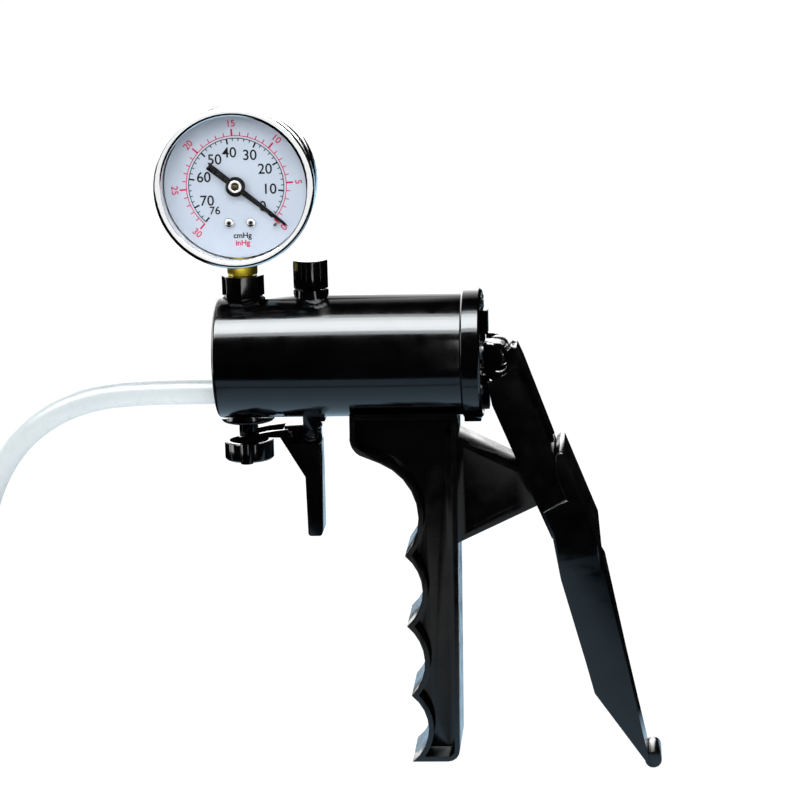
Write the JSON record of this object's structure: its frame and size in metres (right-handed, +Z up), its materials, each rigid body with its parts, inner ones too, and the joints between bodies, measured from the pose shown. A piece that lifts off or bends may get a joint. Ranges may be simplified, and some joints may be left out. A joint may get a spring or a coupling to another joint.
{
  "type": "hand vacuum pump",
  "caption": "Pistol-grip hand vacuum pump with a dial gauge on its barrel, a squeeze lever behind the grip, a release trigger and a flexible hose.",
  "frame": {"origin": "centre of the bounding box, at the level of the lowest point of the lever foot, measured without the hose", "axes": "+X along the barrel from the hose end to the lever; +Z up, across the barrel towards the gauge; +Y away from the face of the gauge"},
  "size_m": [0.3227, 0.0856, 0.2242],
  "materials": {
    "barrel": "polished",
    "end_cap": "polished",
    "front_cover": "polished",
    "grip": "polished",
    "lever": "polished",
    "trigger": "polished",
    "fittings": "polished",
    "needle": "satin",
    "chrome": "polished",
    "steel": "brushed",
    "black_oxide": "satin",
    "brass": "machined",
    "rubber": "matt",
    "dial": "satin",
    "lens": "clear",
    "hose": "satin"
  },
  "bodies": {
    "pump": {"barrel": "barrel", "front_cover": "front_cover", "inlet_valve": "rubber", "end_cap": "end_cap", "cap_screw_1": "black_oxide", "cap_screw_2": "black_oxide", "cap_screw_3": "black_oxide", "rod_bush": "fittings", "piston_spring": "steel", "vent_disc": "rubber", "gauge_socket": "fittings", "gauge_stem": "brass", "gauge_case": "chrome", "gauge_bezel": "chrome", "gauge_lens": "lens", "gauge_dial": "dial", "dial_screw_left": "chrome", "dial_screw_right": "chrome", "stop_pin": "black_oxide", "bourdon_tube": "brass", "movement_plate": "brass", "valve_body": "fittings", "valve_spring": "steel", "trigger_pin": "black_oxide", "trigger_spring": "steel", "grip": "grip", "lever_pin": "steel", "hose": "hose", "hose_connector": "fittings"},
    "lever": {"lever_arm": "lever", "lever_handle": "lever"},
    "piston": {"piston": "fittings", "piston_seal": "rubber", "piston_rod": "steel", "cross_pin": "lever"},
    "trigger": {"trigger": "trigger"},
    "release_valve": {"valve_stem": "steel", "valve_seal": "rubber", "valve_knob": "fittings"},
    "needle": {"needle": "needle", "needle_arbor": "brass", "needle_cap": "chrome"},
    "sector": {"sector_gear": "brass"},
    "vent_cap": {"vent_cap": "fittings"}
  },
  "joints": [
    {"name": "lever_hinge", "type": "hinge", "parent": "pump", "child": "lever", "pos_m": [0.04315, 0, 0.0963], "axis": [0, 1, 0], "range_deg": [0, 30], "stiffness_Nm_per_rad": 1, "springref_deg": -17.19},
    {"name": "piston_slide", "type": "slide", "parent": "pump", "child": "piston", "axis": [1, 0, 0], "range_m": [0, 0.0238], "deforming": ["piston_spring"]},
    {"name": "trigger_hinge", "type": "hinge", "parent": "pump", "child": "trigger", "pos_m": [-0.03335, 0, 0.1153], "axis": [0, -1, 0], "range_deg": [0, 8], "stiffness_Nm_per_rad": 0.06, "springref_deg": -14.32},
    {"name": "release_valve_slide", "type": "slide", "parent": "pump", "child": "release_valve", "axis": [0, 0, -1], "range_m": [0, 0.0032], "deforming": ["valve_spring"]},
    {"name": "needle_hinge", "type": "hinge", "parent": "pump", "child": "needle", "pos_m": [-0.05465, 0, 0.1982], "axis": [0, -1, 0], "range_deg": [0, 271], "stiffness_Nm_per_rad": 0.0002, "springref_deg": -5.73},
    {"name": "sector_hinge", "type": "hinge", "parent": "pump", "child": "sector", "pos_m": [-0.05465, 0, 0.1867], "axis": [0, -1, 0], "range_deg": [-30, 0]},
    {"name": "vent_cap_turn", "type": "hinge", "parent": "pump", "child": "vent_cap", "pos_m": [-0.03225, 0, 0.1655], "axis": [0, 0, 1], "range_deg": [0, 180]}
  ],
  "couplings": [
    {"joint": "piston_slide", "follows": "lever_hinge", "m_per_rad": 0.04543},
    {"joint": "release_valve_slide", "follows": "trigger_hinge", "m_per_rad": 0.0225},
    {"joint": "sector_hinge", "follows": "needle_hinge", "ratio": -0.11}
  ]
}
